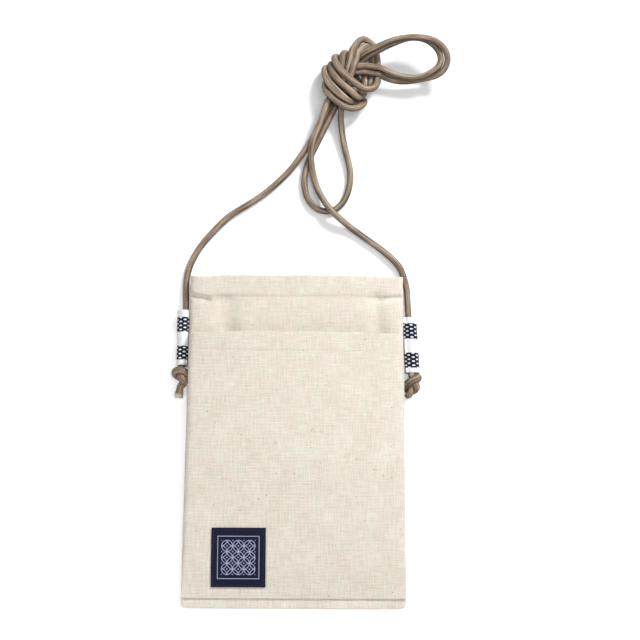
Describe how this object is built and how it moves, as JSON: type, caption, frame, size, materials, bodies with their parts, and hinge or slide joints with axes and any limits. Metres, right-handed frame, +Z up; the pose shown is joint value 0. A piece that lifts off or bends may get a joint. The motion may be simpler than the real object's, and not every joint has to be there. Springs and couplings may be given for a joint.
{
  "type": "phone shoulder bag",
  "caption": "Flat canvas pouch for a phone with a patch pocket, a sewn label and a round cord strap threaded through two tape loops and knotted short",
  "frame": {"origin": "on the surface the pouch lies on, under the middle of the pouch and its two tape loops", "axes": "+Y from the folded bottom to the mouth, +X to the right seen from the front, +Z up out of the front panel"},
  "size_m": [0.1587, 0.325, 0.0196],
  "materials": {
    "canvas": "unbleached plain-weave cotton canvas with seed flecks",
    "label_weave": null,
    "tape": "white woven tape with navy dotted bands",
    "cord": "smooth brown round cord"
  },
  "bodies": {
    "root": {"pouch_body": "canvas", "front_pocket": "canvas", "label": "label_weave", "left_strap_loop": "tape", "right_strap_loop": "tape", "cord_left_lead": "cord", "cord_right_lead": "cord", "cord_lower_loop": "cord", "cord_upper_loop_outer": "cord", "cord_upper_loop_inner": "cord", "cord_knot": "cord", "cord_end_knot_left": "cord", "cord_end_knot_right": "cord"}
  },
  "joints": []
}
